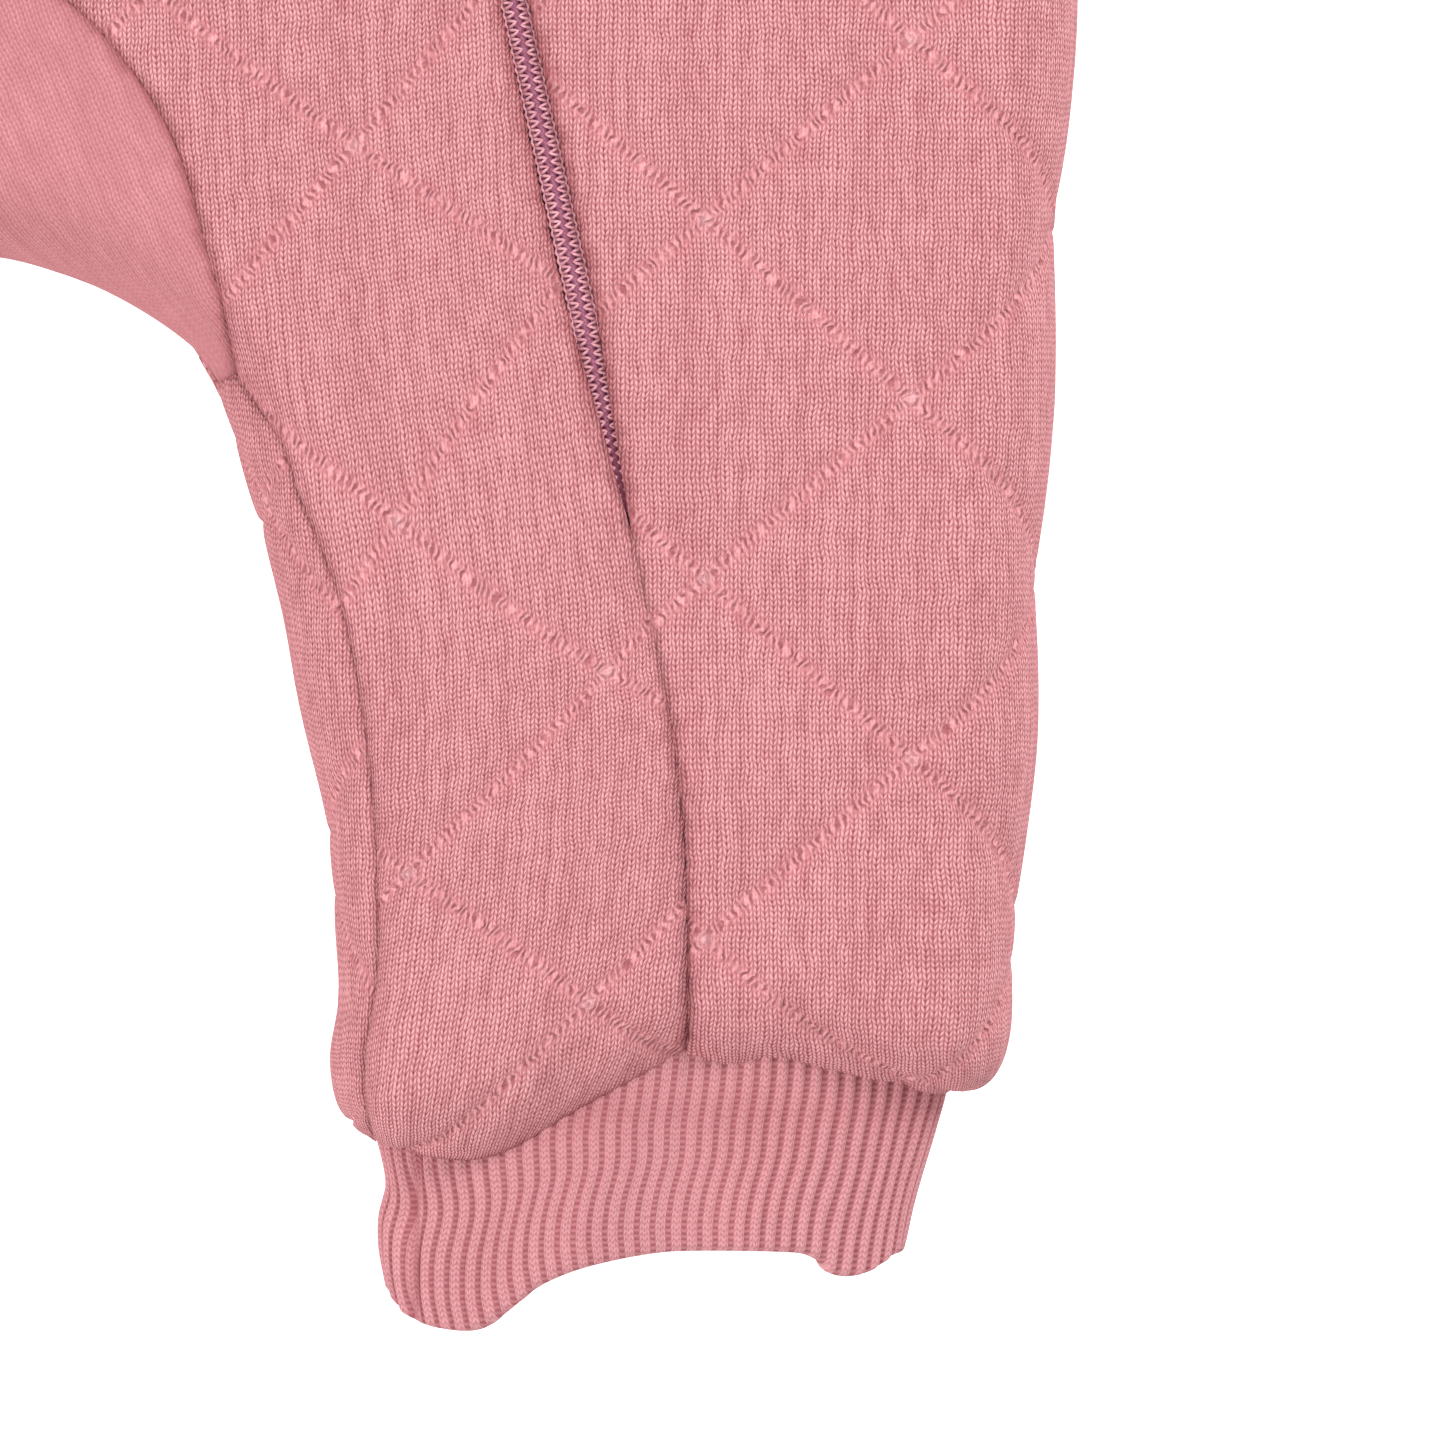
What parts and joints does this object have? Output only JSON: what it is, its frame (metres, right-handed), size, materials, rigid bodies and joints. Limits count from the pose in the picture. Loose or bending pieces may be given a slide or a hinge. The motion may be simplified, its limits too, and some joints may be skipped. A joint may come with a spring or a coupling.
{
  "type": "baby sleeping bag with legs",
  "caption": "Padded baby sleeping bag with legs, rib cuffs and a slanting two-tape zip from collar to thigh, lying flat on its back.",
  "frame": {"origin": "under the middle of the garment, on the plane that its back lies on", "axes": "+X to the wearer's left, +Y from the feet to the neck, +Z out of the front"},
  "size_m": [0.3346, 0.6184, 0.0404],
  "materials": {
    "quilted_knit": "matte",
    "plain_jersey": "matte",
    "wadding": "matte",
    "rib_knit": "matte",
    "zip_tape": "matte",
    "zip_coil": "satin",
    "zip_metal": "polished",
    "label_satin": "satin"
  },
  "bodies": {
    "bag": {"front_main_panel": "quilted_knit", "front_left_panel": "quilted_knit", "back_panel": "quilted_knit", "front_main_lining": "plain_jersey", "front_left_lining": "plain_jersey", "back_lining": "plain_jersey", "crotch_gusset": "plain_jersey", "gusset_lining": "plain_jersey", "zip_guard": "plain_jersey", "chin_guard": "plain_jersey", "front_main_wadding": "wadding", "front_left_wadding": "wadding", "back_wadding": "wadding", "neck_rib": "rib_knit", "armhole_rib_left": "rib_knit", "armhole_rib_right": "rib_knit", "leg_cuff_left": "rib_knit", "leg_cuff_right": "rib_knit", "zip_tape_right": "zip_tape", "hanger_loop": "zip_tape", "zip_coil_right": "zip_coil", "zip_bottom_stop": "zip_metal", "zip_top_stop_right": "zip_metal", "size_label": "label_satin", "care_label": "label_satin"},
    "slider": {"zip_slider": "zip_metal"},
    "pull_tab": {"zip_pull_tab": "zip_metal"},
    "flap": {"front_flap_panel": "quilted_knit", "front_flap_wadding": "wadding", "front_flap_lining": "plain_jersey", "neck_rib_flap": "rib_knit", "zip_tape_left": "zip_tape", "zip_coil_left": "zip_coil", "zip_top_stop_left": "zip_metal"}
  },
  "joints": [
    {"name": "zip_slide", "type": "slide", "parent": "bag", "child": "slider", "axis": [0.2162, -0.9764, 0], "range_m": [0, 0.4455], "deforming": ["zip_coil_left", "zip_coil_right"]},
    {"name": "pull_tab_swing", "type": "hinge", "parent": "slider", "child": "pull_tab", "pos_m": [0.00053, 0.25295, 0.0386], "axis": [-0.9764, -0.2162, 0], "range_deg": [0, 170]},
    {"name": "flap_fold", "type": "hinge", "parent": "bag", "child": "flap", "pos_m": [0.08685, -0.10401, 0.0383], "axis": [-0.1383, 0.9904, 0], "range_deg": [0, 150], "deforming": ["zip_tape_left", "zip_coil_left"]}
  ],
  "couplings": [
    {"joint": "flap_fold", "follows": "zip_slide", "rad_per_m": 5.85}
  ]
}
